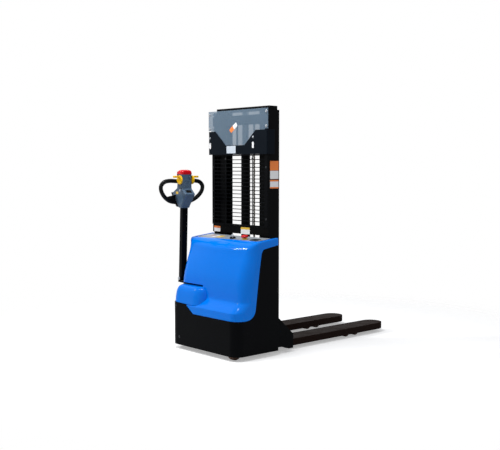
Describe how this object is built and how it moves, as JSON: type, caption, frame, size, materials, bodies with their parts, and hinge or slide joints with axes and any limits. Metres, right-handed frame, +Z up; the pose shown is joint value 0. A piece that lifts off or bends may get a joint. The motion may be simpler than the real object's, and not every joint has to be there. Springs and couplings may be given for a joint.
{
  "type": "walkie stacker",
  "caption": "Electric pedestrian stacker: wheeled chassis with battery, side-parked tiller, two-stage mast with chain lift, wrap-over forks on straddling support legs",
  "frame": {"origin": "on the floor under the middle of the bounding box", "axes": "+X along the forks towards their tips, +Y to the machine's left, +Z up the mast"},
  "size_m": [2.0063, 0.9725, 2.033],
  "materials": {
    "black_paint": "satin black powder coat",
    "blue_cover": "glossy moulded blue",
    "grey_panel": "fine matte texture",
    "slate_head": "satin moulded slate grey",
    "black_plastic": "matte moulded black",
    "bare_steel": "ground",
    "hard_chrome": "polished",
    "urethane": "matte cast urethane",
    "rubber_tread": "matte",
    "red_plastic": "glossy moulded red",
    "yellow_plastic": "satin moulded yellow",
    "battery_case": "black coated steel case",
    "alloy_casting": "painted casting",
    "clear_sheet": "clear polycarbonate"
  },
  "bodies": {
    "chassis": {"chassis_shell": "black_paint", "floor_plate": "black_paint", "drive_plate": "black_paint", "steering_bearing": "bare_steel", "support_leg_left": "black_paint", "support_leg_right": "black_paint", "castor_plate": "bare_steel", "main_cover": "blue_cover", "drive_cover": "blue_cover", "control_panel": "grey_panel", "estop_collar": "yellow_plastic", "key_switch": "black_plastic", "battery_pack": "battery_case", "motor_controller": "alloy_casting", "hydraulic_power_unit": "alloy_casting", "outer_mast_left": "black_paint", "outer_mast_right": "black_paint", "outer_mast_foot": "black_paint", "outer_mast_mid_tie": "black_paint", "outer_mast_top_tie": "black_paint", "lift_cylinder": "black_paint", "mesh_guard": "black_paint", "hanger_plate": "black_paint", "clear_guard": "clear_sheet"},
    "steering": {"drive_unit": "black_paint", "drive_motor": "black_paint", "tiller_base": "black_paint"},
    "drive_wheel": {"drive_wheel": "urethane"},
    "tiller": {"tiller_arm": "black_plastic", "tiller_head": "slate_head", "handle_loop_left": "black_plastic", "handle_loop_right": "black_plastic"},
    "throttle": {"throttle": "yellow_plastic"},
    "belly_button": {"belly_button": "red_plastic"},
    "horn_button": {"horn_button": "red_plastic"},
    "lift_rocker": {"lift_rocker": "black_plastic"},
    "castor": {"castor_fork": "bare_steel"},
    "castor_wheel": {"castor_wheel": "rubber_tread"},
    "bogie_left": {"bogie_left": "bare_steel"},
    "bogie_right": {"bogie_right": "bare_steel"},
    "load_roller_left_rear": {"load_roller_left_rear": "urethane"},
    "load_roller_left_front": {"load_roller_left_front": "urethane"},
    "load_roller_right_rear": {"load_roller_right_rear": "urethane"},
    "load_roller_right_front": {"load_roller_right_front": "urethane"},
    "inner_mast": {"inner_mast_left": "black_paint", "inner_mast_right": "black_paint", "inner_mast_top_tie": "black_paint", "inner_mast_bottom_tie": "black_paint", "piston_rod": "hard_chrome", "lift_chain_left": "bare_steel", "lift_chain_right": "bare_steel"},
    "chain_pulley_left": {"chain_pulley_left": "bare_steel"},
    "chain_pulley_right": {"chain_pulley_right": "bare_steel"},
    "carriage": {"carriage_frame": "black_paint", "fork_left": "black_paint", "fork_right": "black_paint"},
    "carriage_roller_left": {"carriage_roller_left": "bare_steel"},
    "carriage_roller_right": {"carriage_roller_right": "bare_steel"},
    "estop": {"estop_button": "red_plastic"},
    "key": {"ignition_key": "bare_steel"}
  },
  "joints": [
    {"name": "steer", "type": "hinge", "parent": "chassis", "child": "steering", "pos_m": [-0.7889, 0.23875, 0.336], "axis": [0, 0, 1], "range_deg": [0, 140]},
    {"name": "drive_wheel_spin", "type": "hinge", "parent": "steering", "child": "drive_wheel", "pos_m": [-0.7889, 0.23875, 0.1], "axis": [0.9962, -0.0872, 0], "continuous": true},
    {"name": "tiller_tilt", "type": "hinge", "parent": "steering", "child": "tiller", "pos_m": [-0.77539, 0.39316, 0.5785], "axis": [-0.9962, 0.0872, 0], "range_deg": [0, 85], "stiffness_Nm_per_rad": 28, "springref_deg": -28.65},
    {"name": "throttle_turn", "type": "hinge", "parent": "tiller", "child": "throttle", "pos_m": [-0.78036, 0.33635, 1.42612], "axis": [0.9962, -0.0872, 0], "range_deg": [-30, 30], "stiffness_Nm_per_rad": 1.5},
    {"name": "belly_button_press", "type": "slide", "parent": "tiller", "child": "belly_button", "axis": [0.0038, 0.0435, -0.999], "range_m": [0, 0.006], "stiffness_N_per_m": 800, "springref_m": -0.008},
    {"name": "horn_button_press", "type": "slide", "parent": "tiller", "child": "horn_button", "axis": [0.0871, 0.9952, 0.0436], "range_m": [0, 0.003], "stiffness_N_per_m": 300, "springref_m": -0.002},
    {"name": "lift_rocker_tip", "type": "hinge", "parent": "tiller", "child": "lift_rocker", "pos_m": [-0.78131, 0.32553, 1.39061], "axis": [0.9962, -0.0872, 0], "range_deg": [-7, 7], "stiffness_Nm_per_rad": 0.5},
    {"name": "castor_swivel", "type": "hinge", "parent": "chassis", "child": "castor", "pos_m": [-0.8219, -0.38125, 0.14], "axis": [0, 0, 1], "continuous": true},
    {"name": "castor_wheel_spin", "type": "hinge", "parent": "castor", "child": "castor_wheel", "pos_m": [-0.8519, -0.38125, 0.0625], "axis": [0, 1, 0], "continuous": true},
    {"name": "bogie_left_rock", "type": "hinge", "parent": "chassis", "child": "bogie_left", "pos_m": [0.5856, 0.18375, 0.04], "axis": [0, 1, 0], "range_deg": [-3, 3]},
    {"name": "load_roller_left_rear_spin", "type": "hinge", "parent": "bogie_left", "child": "load_roller_left_rear", "pos_m": [0.5231, 0.18375, 0.04], "axis": [0, 1, 0], "continuous": true},
    {"name": "load_roller_left_front_spin", "type": "hinge", "parent": "bogie_left", "child": "load_roller_left_front", "pos_m": [0.6481, 0.18375, 0.04], "axis": [0, 1, 0], "continuous": true},
    {"name": "bogie_right_rock", "type": "hinge", "parent": "chassis", "child": "bogie_right", "pos_m": [0.5856, -0.30625, 0.04], "axis": [0, 1, 0], "range_deg": [-3, 3]},
    {"name": "load_roller_right_rear_spin", "type": "hinge", "parent": "bogie_right", "child": "load_roller_right_rear", "pos_m": [0.5231, -0.30625, 0.04], "axis": [0, 1, 0], "continuous": true},
    {"name": "load_roller_right_front_spin", "type": "hinge", "parent": "bogie_right", "child": "load_roller_right_front", "pos_m": [0.6481, -0.30625, 0.04], "axis": [0, 1, 0], "continuous": true},
    {"name": "inner_mast_lift", "type": "slide", "parent": "chassis", "child": "inner_mast", "axis": [0, 0, 1], "range_m": [0, 1.35], "deforming": ["lift_chain_left", "lift_chain_right"]},
    {"name": "carriage_lift", "type": "slide", "parent": "inner_mast", "child": "carriage", "axis": [0, 0, 1], "range_m": [0, 1.35]},
    {"name": "chain_pulley_left_turn", "type": "hinge", "parent": "inner_mast", "child": "chain_pulley_left", "pos_m": [-0.4489, 0.00375, 1.925], "axis": [0, 1, 0], "range_deg": [0, 2280]},
    {"name": "carriage_roller_left_turn", "type": "hinge", "parent": "carriage", "child": "carriage_roller_left", "pos_m": [-0.4489, 0.21975, 0.5], "axis": [0, 1, 0], "range_deg": [0, 2768]},
    {"name": "chain_pulley_right_turn", "type": "hinge", "parent": "inner_mast", "child": "chain_pulley_right", "pos_m": [-0.4489, -0.12625, 1.925], "axis": [0, 1, 0], "range_deg": [0, 2280]},
    {"name": "carriage_roller_right_turn", "type": "hinge", "parent": "carriage", "child": "carriage_roller_right", "pos_m": [-0.4489, -0.34225, 0.5], "axis": [0, 1, 0], "range_deg": [0, 2768]},
    {"name": "estop_press", "type": "slide", "parent": "chassis", "child": "estop", "axis": [0.0995, 0, -0.995], "range_m": [0, 0.0055], "stiffness_N_per_m": 500, "springref_m": -0.003},
    {"name": "key_turn", "type": "hinge", "parent": "chassis", "child": "key", "pos_m": [-0.6369, -0.11125, 0.9434], "axis": [-0.0995, 0, 0.995], "range_deg": [0, 60]}
  ],
  "couplings": [
    {"joint": "carriage_lift", "follows": "inner_mast_lift", "ratio": 1},
    {"joint": "chain_pulley_left_turn", "follows": "inner_mast_lift", "rad_per_m": 29.412},
    {"joint": "carriage_roller_left_turn", "follows": "inner_mast_lift", "rad_per_m": 35.714},
    {"joint": "chain_pulley_right_turn", "follows": "inner_mast_lift", "rad_per_m": 29.412},
    {"joint": "carriage_roller_right_turn", "follows": "inner_mast_lift", "rad_per_m": 35.714}
  ]
}
